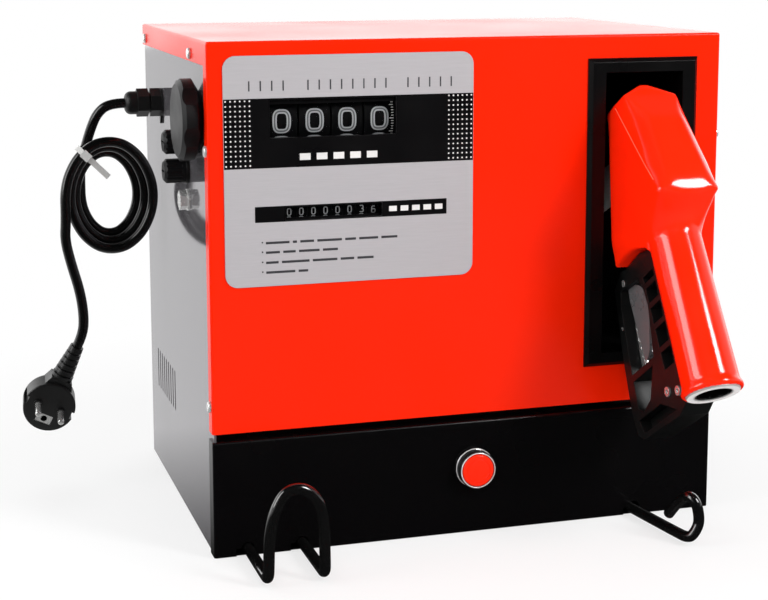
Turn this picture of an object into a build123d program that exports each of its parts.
from build123d import *
import math
import os

os.makedirs("parts", exist_ok=True)

# A cabinet pump for diesel fuel: a sheet steel box on a black base, a counter behind a
# metal face plate, and a delivery nozzle that hangs in a deep holster in the front.
# The frame: X to the right, Y to the back, Z up, origin in the middle of the base's underside.
# Millimetres.

# Cabinet
CABINET_WIDTH = 390.0
CABINET_DEPTH = 278.0
CABINET_HEIGHT = 368.0
SHEET = 1.5
BEND = 2.0
BASE_HEIGHT = 85.0
SEAM = 6.0
RETURN_DEPTH = 12.0
TOP_FLANGE = 17.0
PANEL_FOLD = 14.0
TRAY_FLANGE = 22.0
FIT = 0.3
RUNNING_FIT = 0.05

HALF_WIDTH = CABINET_WIDTH / 2
FRONT = CABINET_DEPTH / 2
COVER_BOTTOM = BASE_HEIGHT + SEAM
PANEL_X = HALF_WIDTH - SHEET
PANEL_INNER_X = PANEL_X - SHEET
BACK_PANEL_Y = FRONT - SHEET
FOLD_Y = BACK_PANEL_Y - SHEET
TRAY_BACK_Y = FOLD_Y - SHEET

# Base fixing holes
FIXING_SPACING_X = 330.0
FIXING_SPACING_Y = 200.0
FIXING_RADIUS = 4.5

# Vent slots in both side panels
VENT_COUNT = 9
VENT_PITCH = 10.0
VENT_WIDTH = 3.5
VENT_HEIGHT = 33.0
VENT_FROM_BACK = 77.0
VENT_Z = 82.0

# Face plate and counter
PLATE_WIDTH = 182.6
PLATE_HEIGHT = 162.0
PLATE_THICKNESS = 1.0
PLATE_CORNER = 9.0
PLATE_SIDE_MARGIN = 11.0
PLATE_TOP_MARGIN = 10.0
COUNTER_SHIFT = 12.6
WHEEL_PITCH = 23.8
WHEEL_COUNT = 4
WHEEL_RADIUS = 30.5
WHEEL_WIDTH = 22.4
WHEEL_RISE = 34.3
WINDOW_RISE = 36.8
WINDOW_WIDTH = 93.0
WINDOW_HEIGHT = 27.5
TOTAL_COUNT = 8
TOTAL_PITCH = 8.85
TOTAL_WIDTH = 8.2
TOTAL_RADIUS = 9.5
TOTAL_DROP = 30.0
TOTAL_WINDOW_HEIGHT = 11.0
TOTAL_WINDOW_WIDTH = TOTAL_COUNT * TOTAL_PITCH + 1.0
WHEEL_SET_BACK = 1.2
COUNTER_WALL = 2.0
SHAFT_RADIUS = 4.0
TOTAL_SHAFT_RADIUS = 2.5
LENS_THICKNESS = 1.5

PLATE_X = -HALF_WIDTH + PLATE_SIDE_MARGIN + PLATE_WIDTH / 2
PLATE_Z = CABINET_HEIGHT - PLATE_TOP_MARGIN - PLATE_HEIGHT / 2
COUNTER_X = PLATE_X - COUNTER_SHIFT
WHEEL_Z = PLATE_Z + WHEEL_RISE
WINDOW_Z = PLATE_Z + WINDOW_RISE
TOTAL_Z = PLATE_Z - TOTAL_DROP
MASK_BACK_Y = -FRONT + SHEET + LENS_THICKNESS + COUNTER_WALL
WHEEL_Y = MASK_BACK_Y + WHEEL_SET_BACK + WHEEL_RADIUS
TOTAL_Y = MASK_BACK_Y + WHEEL_SET_BACK + TOTAL_RADIUS
COUNTER_INNER = WHEEL_COUNT * WHEEL_PITCH + 2.0
COUNTER_TOP = WHEEL_Z + WHEEL_RADIUS + 4.0
COUNTER_BOTTOM = TOTAL_Z - TOTAL_RADIUS - 5.0
COUNTER_BACK_Y = WHEEL_Y + WHEEL_RADIUS + 6.0

# Left side fittings: each at its own distance behind the front plane
KNOB_RADIUS = 29.5
KNOB_THICKNESS = 15.5
KNOB_LOBES = 6
KNOB_STAND_OFF = 1.0
GLAND_FROM_FRONT = 197.0
GLAND_BELOW_TOP = 58.5
GLAND_ACROSS_FLATS = 19.5
GLAND_THREAD_RADIUS = 8.0
FUSE_FROM_FRONT = 85.0
FUSE_BELOW_TOP = 99.0
FUSE_PITCH = 21.5
FUSE_CAP_RADIUS = 9.0
FUSE_CAP_LENGTH = 16.0
FUSE_BODY_RADIUS = 6.5
EARTH_BELOW_TOP = 121.0
EARTH_THREAD_RADIUS = 4.0

GLAND_Z = CABINET_HEIGHT - GLAND_BELOW_TOP
FUSE_Z = CABINET_HEIGHT - FUSE_BELOW_TOP
EARTH_Z = CABINET_HEIGHT - EARTH_BELOW_TOP

# Start button in the base
BUTTON_X = 1.3
BUTTON_Z = 49.7
BUTTON_BARREL_RADIUS = 11.0
BEZEL_RADIUS = 14.6
BUTTON_CAP_RADIUS = 12.2
BUTTON_TRAVEL = 4.0

# Holster
HOLSTER_WIDTH = 87.6
HOLSTER_HEIGHT = 231.2
HOLSTER_SIDE_MARGIN = 19.4
HOLSTER_TOP_MARGIN = 17.3
HOLSTER_FLANGE = 4.0
HOLSTER_WALL = 2.5
POCKET_WIDTH = 62.0
POCKET_HEIGHT = 210.5
POCKET_DEPTH = 152.0
POCKET_SHELF_DEPTH = 58.0
POCKET_SLOPE_RISE = 65.0

HOLSTER_X = HALF_WIDTH - HOLSTER_SIDE_MARGIN - HOLSTER_WIDTH / 2
HOLSTER_Z = CABINET_HEIGHT - HOLSTER_TOP_MARGIN - HOLSTER_HEIGHT / 2
POCKET_BOTTOM = HOLSTER_Z - POCKET_HEIGHT / 2
POCKET_TOP = HOLSTER_Z + POCKET_HEIGHT / 2

# Nozzle, drawn in its own plane: along the handle from the hose end, and out to the viewer
NOZZLE_LEAN = 33.0
NOZZLE_SIDE_SHIFT = 3.3
HOSE_END_FORWARD = 128.6
HOSE_END_BELOW_HOLSTER = 107.1
HOSE_END_Z = HOLSTER_Z - HOSE_END_BELOW_HOLSTER
HANDLE_CORE_RADIUS = 16.6
HANDLE_LENGTH = 112.0
COLLAR_RADIUS = 19.2
COLLAR_LENGTH = 7.0
INLET_RADIUS = 13.2
INLET_LENGTH = 18.0
FLOW_RADIUS = 10.0
GRIP_RADIUS_END = 20.4
GRIP_RADIUS_NECK = 18.8
LIP_RADIUS = 22.0
HOOD_WIDTH = 48.0
NECK_WIDTH = 39.0
HOOD_LENGTH = 223.0
HOOD_POINT = 15.0
COVER_WALL = 2.6
SPOUT_RADIUS = 11.5
SPOUT_BORE = 9.5
SPOUT_LENGTH = 140.0
SPOUT_DIP = 25.0
SPOUT_ALONG = 186.0
SPOUT_OUT = -24.0
BOSS_RADIUS = 15.5
BOSS_LENGTH = 46.0
BOSS_SOCKET = 16.0
GUARD_WIDTH = 22.0
LEVER_WIDTH = 13.0
LEVER_PIN_RADIUS = 2.5
LEVER_PIN_ALONG = 112.5
LEVER_PIN_OUT = -73.5
LATCH_PIN_RADIUS = 1.6
LATCH_PIN_ALONG = 84.0
LATCH_PIN_OUT = -93.5
LATCH_WIDTH = 3.0

# Hose hooks
HOOK_RADIUS = 4.0
HOOK_SEAT = 25.0
HOOK_CORNER = 13.0
LEFT_HOOK_X = -150.5
LEFT_HOOK_WIDTH = 40.0
LEFT_HOOK_REACH = 62.0
LEFT_HOOK_TOP = 66.0
RIGHT_HOOK_X = 132.0
RIGHT_HOOK_SPLAY = 17.0
RIGHT_HOOK_REACH = 68.0
RIGHT_HOOK_TOP = 38.0
RIGHT_HOOK_END = 14.0
RIGHT_HOOK_RETURN = 36.0
HOOK_NOTCH = 4.5

# Pump set inside
MOTOR_Y = 62.0
MOTOR_Z = 80.0
MOTOR_RADIUS = 52.0
MOTOR_LEFT_X = -165.0
MOTOR_RIGHT_X = -40.0
MOTOR_WALL = 5.0
MOTOR_SHAFT_RADIUS = 6.0
PUMP_RADIUS = 42.0
PUMP_LENGTH = 34.0
CAVITY_RADIUS = 30.0
ROTOR_RADIUS = 25.0
ROTOR_OFFSET = 4.0
VANE_COUNT = 5
VANE_THICKNESS = 4.0
PORT_RADIUS = 19.0
PORT_THREAD = 15.2
PORT_THREAD_DEPTH = 16.0
PORT_BORE = 8.5
PORT_REACH = 12.0
PORT_HEX = 46.0
PORT_X = 120.0
SUCTION_Z = 60.0
DELIVERY_Z = 120.0
PIPE_RADIUS = 11.0
METER_RADIUS = 44.0
METER_THICKNESS = 46.0
METER_Z = 300.0

# Mains cord
CORD_RADIUS = 4.0
COIL_X = -237.5
COIL_Y = 54.0
COIL_Z = 236.5
COIL_TURNS = 3
COIL_START = 21.0
COIL_GROWTH = 2.5
COIL_EXTRA_HEIGHT = 19.0
COIL_STEP = 4.2
PLUG_PLACE = (-291.0, 40.0, 71.0)
PLUG_AXIS = (-0.09, -0.977, -0.19)
PLUG_RADIUS = 20.5
PLUG_DEPTH = 22.0
PLUG_NECK = 24.0
RELIEF_END = 52.5
PLUG_LEAN = 25.5
PIN_RADIUS = 2.4
PIN_LENGTH = 19.0
PIN_SPACING = 19.0

FRONT_FACE = Plane.XZ.offset(FRONT)
LEFT_FACE = Plane.YZ.offset(-PANEL_X)


# Sheet metal

# The red cover is one folded sheet: the front, the top, a lip all round and no sides.
with BuildPart() as front_cover:
    with BuildSketch(Plane.XY.offset(COVER_BOTTOM)):
        Rectangle(CABINET_WIDTH, CABINET_DEPTH)
    extrude(amount=CABINET_HEIGHT - COVER_BOTTOM)
    front_corners = front_cover.edges().filter_by(Axis.Z).group_by(Axis.Y)[0]
    top_corners = front_cover.faces().sort_by(Axis.Z)[-1].edges()
    fillet(front_corners + top_corners, radius=BEND)
    with BuildSketch(Plane.XY.offset(COVER_BOTTOM + SHEET)):
        Rectangle(CABINET_WIDTH - 2 * SHEET, CABINET_DEPTH - 2 * SHEET)
    extrude(amount=CABINET_HEIGHT - COVER_BOTTOM - 2 * SHEET, mode=Mode.SUBTRACT)
    open_height = CABINET_HEIGHT - TOP_FLANGE - COVER_BOTTOM
    with BuildSketch(Plane.YZ):
        with Locations((RETURN_DEPTH, COVER_BOTTOM + open_height / 2)):
            Rectangle(CABINET_DEPTH, open_height)
    extrude(amount=CABINET_WIDTH, both=True, mode=Mode.SUBTRACT)
    with BuildSketch(FRONT_FACE):
        with Locations((COUNTER_X, WINDOW_Z)):
            Rectangle(WINDOW_WIDTH, WINDOW_HEIGHT)
        with Locations((COUNTER_X, TOTAL_Z)):
            Rectangle(TOTAL_WINDOW_WIDTH, TOTAL_WINDOW_HEIGHT)
        with Locations((HOLSTER_X, HOLSTER_Z)):
            Rectangle(POCKET_WIDTH + 2 * (HOLSTER_WALL + FIT), POCKET_HEIGHT + 2 * (HOLSTER_WALL + FIT))
    extrude(amount=-2 * SHEET, mode=Mode.SUBTRACT)
    with BuildSketch(Plane.XY.offset(COVER_BOTTOM)):
        with Locations((0, SHEET + RETURN_DEPTH / 2 - FRONT)):
            with GridLocations(2 * PANEL_X - SHEET - FIT, 0, 2, 1):
                Rectangle(SHEET + FIT, RETURN_DEPTH)
    extrude(amount=SHEET, mode=Mode.SUBTRACT)
front_cover.part.label = "front_cover"
export_step(front_cover.part, "parts/front_cover.step")

# The black front of the base: a rolled top lip, two side returns and a tongue behind the cover.
LOWER_RETURN = RETURN_DEPTH + FIT + SHEET
TONGUE = SEAM + 8.0
with BuildPart() as lower_front:
    with BuildSketch(FRONT_FACE):
        with Locations((0, BASE_HEIGHT / 2)):
            Rectangle(CABINET_WIDTH, BASE_HEIGHT)
    extrude(amount=-LOWER_RETURN)
    upright_corners = lower_front.edges().filter_by(Axis.Z).group_by(Axis.Y)[0]
    lip_corner = lower_front.edges().filter_by(Axis.X).group_by(Axis.Z)[-1].sort_by(Axis.Y)[0]
    fillet(upright_corners + [lip_corner], radius=BEND)
    with BuildSketch(FRONT_FACE.offset(-SHEET)):
        with Locations((0, (BASE_HEIGHT - SHEET) / 2)):
            Rectangle(CABINET_WIDTH - 2 * SHEET, BASE_HEIGHT - SHEET)
    extrude(amount=-LOWER_RETURN, mode=Mode.SUBTRACT)
    with BuildSketch(Plane.XY.offset(BASE_HEIGHT - SHEET)):
        with Locations((0, SHEET + LOWER_RETURN / 2 - FRONT)):
            with GridLocations(2 * PANEL_X - SHEET - FIT, 0, 2, 1):
                Rectangle(SHEET + FIT, LOWER_RETURN)
    extrude(amount=SHEET, mode=Mode.SUBTRACT)
    with BuildSketch(Plane.XY.offset(BASE_HEIGHT - SHEET)):
        with Locations((0, LOWER_RETURN - SHEET / 2 - FRONT)):
            Rectangle(2 * (PANEL_INNER_X - FIT), SHEET)
    extrude(amount=SHEET + TONGUE)
    with BuildSketch(FRONT_FACE):
        with Locations((BUTTON_X, BUTTON_Z)):
            Circle(BUTTON_BARREL_RADIUS + FIT)
        left_legs = [LEFT_HOOK_X - LEFT_HOOK_WIDTH / 2, LEFT_HOOK_X + LEFT_HOOK_WIDTH / 2]
        for leg_x in left_legs + [RIGHT_HOOK_X]:
            with Locations((leg_x, SHEET + HOOK_RADIUS)):
                Circle(HOOK_RADIUS + 2 * FIT)
            with Locations((leg_x - HOOK_NOTCH / 2, (SHEET + HOOK_RADIUS) / 2)):
                Rectangle(2 * HOOK_RADIUS + HOOK_NOTCH, SHEET + HOOK_RADIUS)
    extrude(amount=-2 * SHEET, mode=Mode.SUBTRACT)
lower_front.part.label = "lower_front"
export_step(lower_front.part, "parts/lower_front.step")

# The floor of the cabinet, with turned-up edges on three sides and the fixing holes.
TRAY_DEPTH = TRAY_BACK_Y + FRONT - SHEET
TRAY_Y = (TRAY_BACK_Y - FRONT + SHEET) / 2
with BuildPart() as base_tray:
    with BuildSketch():
        with Locations((0, TRAY_Y)):
            Rectangle(2 * PANEL_INNER_X, TRAY_DEPTH)
    extrude(amount=TRAY_FLANGE)
    with BuildSketch(Plane.XY.offset(SHEET)):
        with Locations((0, TRAY_Y - SHEET)):
            Rectangle(2 * (PANEL_INNER_X - SHEET), TRAY_DEPTH)
    extrude(amount=TRAY_FLANGE, mode=Mode.SUBTRACT)
    with Locations((0, 0, SHEET)):
        with GridLocations(FIXING_SPACING_X, FIXING_SPACING_Y, 2, 2):
            Hole(FIXING_RADIUS)
base_tray.part.label = "base_tray"
export_step(base_tray.part, "parts/base_tray.step")


def side_panel(side, fittings):
    """A grey side: a flat sheet with vent slots and a fold behind, for side -1 or 1."""
    with BuildPart() as panel:
        with BuildSketch(Plane.YZ.offset(side * PANEL_X)):
            with Locations((0, (CABINET_HEIGHT - SHEET) / 2)):
                Rectangle(2 * BACK_PANEL_Y, CABINET_HEIGHT - SHEET)
            vent_y = FRONT - VENT_FROM_BACK
            with Locations((vent_y, VENT_Z)):
                with GridLocations(VENT_PITCH, 0, VENT_COUNT, 1):
                    SlotOverall(VENT_HEIGHT, VENT_WIDTH, rotation=90, mode=Mode.SUBTRACT)
            for place_y, place_z, radius in fittings:
                with Locations((place_y, place_z)):
                    Circle(radius, mode=Mode.SUBTRACT)
        extrude(amount=-side * SHEET)
        with BuildSketch(Plane.XY):
            with Locations((side * (PANEL_INNER_X - PANEL_FOLD / 2), FOLD_Y - SHEET / 2)):
                Rectangle(PANEL_FOLD, SHEET)
        extrude(amount=CABINET_HEIGHT - SHEET)
    return panel.part


KNOB_HOLE = SHAFT_RADIUS + 1.0
gland_y = -FRONT + GLAND_FROM_FRONT
fuse_y = -FRONT + FUSE_FROM_FRONT
left_fittings = [
    (WHEEL_Y, WHEEL_Z, KNOB_HOLE),
    (gland_y, GLAND_Z, GLAND_THREAD_RADIUS + FIT),
    (fuse_y, FUSE_Z, FUSE_BODY_RADIUS + FIT),
    (fuse_y, FUSE_Z + FUSE_PITCH, FUSE_BODY_RADIUS + FIT),
    (fuse_y, EARTH_Z, EARTH_THREAD_RADIUS + FIT),
]
left_side_panel = side_panel(-1, left_fittings)
left_side_panel.label = "left_side_panel"
export_step(left_side_panel, "parts/left_side_panel.step")
right_side_panel = side_panel(1, [])
right_side_panel.label = "right_side_panel"
export_step(right_side_panel, "parts/right_side_panel.step")

# The back panel, with a hole for each hose port
with BuildPart() as back_panel:
    with BuildSketch(Plane.XZ.offset(-BACK_PANEL_Y)):
        with Locations((0, (CABINET_HEIGHT - SHEET) / 2)):
            Rectangle(2 * PANEL_INNER_X, CABINET_HEIGHT - SHEET)
        with Locations((PORT_X, SUCTION_Z), (PORT_X, DELIVERY_Z)):
            Circle(PORT_RADIUS + FIT, mode=Mode.SUBTRACT)
    extrude(amount=SHEET)
back_panel.part.label = "back_panel"
export_step(back_panel.part, "parts/back_panel.step")

# Round-headed screws that hold the cover's lips to the sides, as a group of solids.
SCREW_HEAD_RADIUS = 4.0
SCREW_HEAD_HEIGHT = 2.2
TOP_SCREW_Z = CABINET_HEIGHT - 11.5
LIP_SCREW_LOW = 110.0
LIP_SCREW_HIGH = 292.0
TOP_SCREW_SPACING = 202.0
TOP_SCREW_SHIFT = 23.5
with BuildPart() as cover_screws:
    for side in (-1, 1):
        with BuildSketch(Plane.YZ.offset(side * HALF_WIDTH)):
            with Locations((TOP_SCREW_SHIFT, TOP_SCREW_Z)):
                with GridLocations(TOP_SCREW_SPACING, 0, 2, 1):
                    Circle(SCREW_HEAD_RADIUS)
            for screw_z in (LIP_SCREW_LOW, LIP_SCREW_HIGH):
                with Locations((RETURN_DEPTH / 2 - FRONT, screw_z)):
                    Circle(SCREW_HEAD_RADIUS)
        extrude(amount=side * SCREW_HEAD_HEIGHT)
    outer_left = cover_screws.faces().filter_by(Axis.X).sort_by(Axis.X)[:4]
    outer_right = cover_screws.faces().filter_by(Axis.X).sort_by(Axis.X)[-4:]
    fillet((outer_left + outer_right).edges(), radius=1.4)
cover_screws.part.label = "cover_screws"
export_step(cover_screws.part, "parts/cover_screws.step")


# Face plate and counter

with BuildPart() as face_plate:
    with BuildSketch(FRONT_FACE):
        with Locations((PLATE_X, PLATE_Z)):
            RectangleRounded(PLATE_WIDTH, PLATE_HEIGHT, PLATE_CORNER)
        with Locations((COUNTER_X, WINDOW_Z)):
            Rectangle(WINDOW_WIDTH - 1, WINDOW_HEIGHT - 1, mode=Mode.SUBTRACT)
        with Locations((COUNTER_X, TOTAL_Z)):
            Rectangle(TOTAL_WINDOW_WIDTH - 1, TOTAL_WINDOW_HEIGHT - 1, mode=Mode.SUBTRACT)
    extrude(amount=PLATE_THICKNESS)
face_plate.part.label = "face_plate"
export_step(face_plate.part, "parts/face_plate.step")

# A clear window sheet behind the cover, over both rows of digits.
COUNTER_OUTER = COUNTER_INNER + 2 * COUNTER_WALL
with BuildPart() as counter_lens:
    with BuildSketch(FRONT_FACE.offset(-SHEET)):
        with Locations((COUNTER_X, (COUNTER_TOP + COUNTER_BOTTOM) / 2)):
            Rectangle(COUNTER_OUTER, COUNTER_TOP - COUNTER_BOTTOM)
    extrude(amount=-LENS_THICKNESS)
counter_lens.part.label = "counter_lens"
export_step(counter_lens.part, "parts/counter_lens.step")

# The counter's frame: a mask with two windows, two side plates with the shaft holes and a back.
COUNTER_DEPTH = COUNTER_BACK_Y - (MASK_BACK_Y - COUNTER_WALL)
with BuildPart() as counter_frame:
    with BuildSketch(Plane.XY.offset(COUNTER_BOTTOM)):
        with Locations((COUNTER_X, MASK_BACK_Y - COUNTER_WALL + COUNTER_DEPTH / 2)):
            Rectangle(COUNTER_OUTER, COUNTER_DEPTH)
            Rectangle(COUNTER_INNER, COUNTER_DEPTH - 2 * COUNTER_WALL, mode=Mode.SUBTRACT)
    extrude(amount=COUNTER_TOP - COUNTER_BOTTOM)
    with BuildSketch(Plane.XZ.offset(-MASK_BACK_Y)):
        with Locations((COUNTER_X, WINDOW_Z)):
            Rectangle(WINDOW_WIDTH, WINDOW_HEIGHT)
        with Locations((COUNTER_X, TOTAL_Z)):
            Rectangle(TOTAL_WINDOW_WIDTH, TOTAL_WINDOW_HEIGHT)
    extrude(amount=COUNTER_WALL, mode=Mode.SUBTRACT)
    with BuildSketch(Plane.YZ.offset(COUNTER_X)):
        with Locations((WHEEL_Y, WHEEL_Z)):
            Circle(SHAFT_RADIUS + RUNNING_FIT)
        with Locations((TOTAL_Y, TOTAL_Z)):
            Circle(TOTAL_SHAFT_RADIUS + RUNNING_FIT)
    extrude(amount=COUNTER_OUTER, both=True, mode=Mode.SUBTRACT)
counter_frame.part.label = "counter_frame"
export_step(counter_frame.part, "parts/counter_frame.step")


def number_wheel(centre_x, axis_y, axis_z, radius, width, bore, rim):
    """A hollow-sided drum that carries ten digits round its rim."""
    with BuildPart() as wheel:
        with BuildSketch(Plane.YZ.offset(centre_x)):
            with Locations((axis_y, axis_z)):
                Circle(radius)
                Circle(bore, mode=Mode.SUBTRACT)
        extrude(amount=width / 2, both=True)
        with BuildSketch(Plane.YZ.offset(centre_x + width / 2)):
            with Locations((axis_y, axis_z)):
                Circle(radius - rim)
                Circle(bore + rim, mode=Mode.SUBTRACT)
        extrude(amount=-width * 0.4, mode=Mode.SUBTRACT)
    return wheel.part


wheel_bore = SHAFT_RADIUS + RUNNING_FIT
first_wheel = COUNTER_X - (WHEEL_COUNT - 1) / 2 * WHEEL_PITCH
for number in range(WHEEL_COUNT):
    wheel_x = first_wheel + number * WHEEL_PITCH
    wheel = number_wheel(wheel_x, WHEEL_Y, WHEEL_Z, WHEEL_RADIUS, WHEEL_WIDTH, wheel_bore, 3.0)
    wheel.label = f"subtotal_wheel_{number + 1}"
    export_step(wheel, f"parts/subtotal_wheel_{number + 1}.step")

first_total = COUNTER_X - (TOTAL_COUNT - 1) / 2 * TOTAL_PITCH
total_bore = TOTAL_SHAFT_RADIUS + RUNNING_FIT
total_wheels = []
for number in range(TOTAL_COUNT):
    wheel_x = first_total + number * TOTAL_PITCH
    total_wheels.append(number_wheel(wheel_x, TOTAL_Y, TOTAL_Z, TOTAL_RADIUS, TOTAL_WIDTH, total_bore, 1.6))
total_units_wheel = total_wheels[-1]
total_units_wheel.label = "total_units_wheel"
export_step(total_units_wheel, "parts/total_units_wheel.step")

# The higher places of the total turn so rarely that they are one group.
total_upper_wheels = Compound(label="total_upper_wheels", children=total_wheels[:-1])
export_step(total_upper_wheels, "parts/total_upper_wheels.step")

with BuildPart() as total_shaft:
    with BuildSketch(Plane.YZ.offset(COUNTER_X)):
        with Locations((TOTAL_Y, TOTAL_Z)):
            Circle(TOTAL_SHAFT_RADIUS)
    extrude(amount=COUNTER_OUTER / 2, both=True)
total_shaft.part.label = "total_shaft"
export_step(total_shaft.part, "parts/total_shaft.step")

# The reset shaft carries the four large wheels and ends in the knob.
SHAFT_END = COUNTER_X + COUNTER_OUTER / 2
KNOB_BACK_X = -PANEL_X - KNOB_STAND_OFF
SHAFT_IN_KNOB = 8.0
with BuildPart() as reset_shaft:
    with BuildSketch(Plane.YZ.offset(SHAFT_END)):
        with Locations((WHEEL_Y, WHEEL_Z)):
            Circle(SHAFT_RADIUS)
    extrude(amount=KNOB_BACK_X - SHAFT_IN_KNOB - SHAFT_END)
reset_shaft.part.label = "reset_shaft"
export_step(reset_shaft.part, "parts/reset_shaft.step")

# The knob: a dished disc with six broad lobes, drawn in the half plane and revolved.
KNOB_AXIS = Axis((0, WHEEL_Y, WHEEL_Z), (1, 0, 0))
KNOB_BACK_RADIUS = 21.0
KNOB_BACK_TAPER = 5.0
KNOB_FACE_RADIUS = 25.5
KNOB_FACE_DROP = 2.5
SCALLOP_RADIUS = 16.0
SCALLOP_DEPTH = 2.4
with BuildPart() as reset_knob:
    with BuildSketch(Plane((0, WHEEL_Y, WHEEL_Z), x_dir=(-1, 0, 0), z_dir=(0, 1, 0))):
        knob_start = -KNOB_BACK_X
        knob_end = knob_start + KNOB_THICKNESS
        with BuildLine():
            Polyline(
                (knob_start, 0),
                (knob_start, KNOB_BACK_RADIUS),
                (knob_start + KNOB_BACK_TAPER, KNOB_RADIUS),
                (knob_end - KNOB_FACE_DROP, KNOB_RADIUS),
                (knob_end, KNOB_FACE_RADIUS),
                (knob_end, 0),
                close=True,
            )
        make_face()
    revolve(axis=KNOB_AXIS)
    with BuildSketch(Plane.YZ.offset(KNOB_BACK_X)):
        with Locations((WHEEL_Y, WHEEL_Z)):
            with PolarLocations(KNOB_RADIUS - SCALLOP_DEPTH + SCALLOP_RADIUS, KNOB_LOBES, start_angle=20):
                Circle(SCALLOP_RADIUS)
    extrude(amount=-KNOB_THICKNESS, mode=Mode.SUBTRACT)
    with BuildSketch(Plane.YZ.offset(KNOB_BACK_X)):
        with Locations((WHEEL_Y, WHEEL_Z)):
            Circle(SHAFT_RADIUS)
    extrude(amount=-SHAFT_IN_KNOB, mode=Mode.SUBTRACT)
reset_knob.part.label = "reset_knob"
export_step(reset_knob.part, "parts/reset_knob.step")


# Left side fittings, built outward from the panel along X

GLAND_AXIS = Axis((0, gland_y, GLAND_Z), (1, 0, 0))
TAG_THICKNESS = 1.6
TAG_REACH = 17.0
GLAND_BODY_LENGTH = 8.0
GLAND_NECK_LENGTH = 1.6
GLAND_CAP_LENGTH = 9.0
GLAND_DOME_LENGTH = 9.5
GLAND_THREAD_INSIDE = 10.0
LOCKNUT_LENGTH = 4.0
gland_hex_radius = GLAND_ACROSS_FLATS / math.sqrt(3)

# A washer with one pointed tab that hangs below the gland's nut.
with BuildPart() as gland_washer:
    with BuildSketch(LEFT_FACE):
        with Locations((gland_y, GLAND_Z)):
            Circle(gland_hex_radius)
        with BuildLine():
            Polyline(
                (gland_y - 4.5, GLAND_Z - 8),
                (gland_y, GLAND_Z - TAG_REACH),
                (gland_y + 4.5, GLAND_Z - 8),
                close=True,
            )
        make_face()
        with Locations((gland_y, GLAND_Z)):
            Circle(GLAND_THREAD_RADIUS, mode=Mode.SUBTRACT)
    extrude(amount=-TAG_THICKNESS)
gland_washer.part.label = "gland_washer"
export_step(gland_washer.part, "parts/gland_washer.step")

GLAND_BODY_X = -PANEL_X - TAG_THICKNESS
with BuildPart() as gland_body:
    with BuildSketch(Plane.YZ.offset(GLAND_BODY_X)):
        with Locations((gland_y, GLAND_Z)):
            RegularPolygon(gland_hex_radius, 6, rotation=30)
    extrude(amount=-GLAND_BODY_LENGTH)
    with BuildSketch(Plane.YZ.offset(GLAND_BODY_X - GLAND_BODY_LENGTH)):
        with Locations((gland_y, GLAND_Z)):
            Circle(GLAND_THREAD_RADIUS)
    extrude(amount=-GLAND_NECK_LENGTH)
    with BuildSketch(Plane.YZ.offset(GLAND_BODY_X)):
        with Locations((gland_y, GLAND_Z)):
            Circle(GLAND_THREAD_RADIUS)
    extrude(amount=GLAND_THREAD_INSIDE + TAG_THICKNESS)
    with BuildSketch(Plane.YZ.offset(GLAND_BODY_X - GLAND_BODY_LENGTH - GLAND_NECK_LENGTH)):
        with Locations((gland_y, GLAND_Z)):
            Circle(CORD_RADIUS + FIT)
    extrude(amount=100, mode=Mode.SUBTRACT)
gland_body.part.label = "gland_body"
export_step(gland_body.part, "parts/gland_body.step")

GLAND_CAP_X = GLAND_BODY_X - GLAND_BODY_LENGTH - GLAND_NECK_LENGTH
GLAND_TIP_X = GLAND_CAP_X - GLAND_CAP_LENGTH - GLAND_DOME_LENGTH
GLAND_DOME_RADIUS = 9.2
with BuildPart() as gland_cap:
    with BuildSketch(Plane.YZ.offset(GLAND_CAP_X)):
        with Locations((gland_y, GLAND_Z)):
            RegularPolygon(gland_hex_radius, 6, rotation=30)
    extrude(amount=-GLAND_CAP_LENGTH)
    with BuildSketch(Plane.YZ.offset(GLAND_CAP_X - GLAND_CAP_LENGTH)):
        with Locations((gland_y, GLAND_Z)):
            Circle(GLAND_DOME_RADIUS)
    extrude(amount=-GLAND_DOME_LENGTH)
    fillet(gland_cap.faces().sort_by(Axis.X)[0].edges(), radius=5.0)
    with BuildSketch(Plane.YZ.offset(GLAND_CAP_X)):
        with Locations((gland_y, GLAND_Z)):
            Circle(CORD_RADIUS)
    extrude(amount=-100, mode=Mode.SUBTRACT)
gland_cap.part.label = "gland_cap"
export_step(gland_cap.part, "parts/gland_cap.step")

with BuildPart() as gland_locknut:
    with BuildSketch(Plane.YZ.offset(-PANEL_INNER_X)):
        with Locations((gland_y, GLAND_Z)):
            RegularPolygon(gland_hex_radius, 6)
            Circle(GLAND_THREAD_RADIUS, mode=Mode.SUBTRACT)
    extrude(amount=LOCKNUT_LENGTH)
gland_locknut.part.label = "gland_locknut"
export_step(gland_locknut.part, "parts/gland_locknut.step")

# Two fuse holders: the holders pass through the panel, the caps are fluted and slotted.
FUSE_FLANGE_LENGTH = 2.5
FUSE_HOLDER_INSIDE = 24.0
FUSE_FLUTES = 12
fuse_places = [(fuse_y, FUSE_Z), (fuse_y, FUSE_Z + FUSE_PITCH)]
with BuildPart() as fuse_holders:
    with BuildSketch(LEFT_FACE):
        with Locations(*fuse_places):
            Circle(FUSE_CAP_RADIUS + 0.6)
    extrude(amount=-FUSE_FLANGE_LENGTH)
    with BuildSketch(LEFT_FACE):
        with Locations(*fuse_places):
            Circle(FUSE_BODY_RADIUS)
    extrude(amount=FUSE_HOLDER_INSIDE)
fuse_holders.part.label = "fuse_holders"
export_step(fuse_holders.part, "parts/fuse_holders.step")

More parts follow.
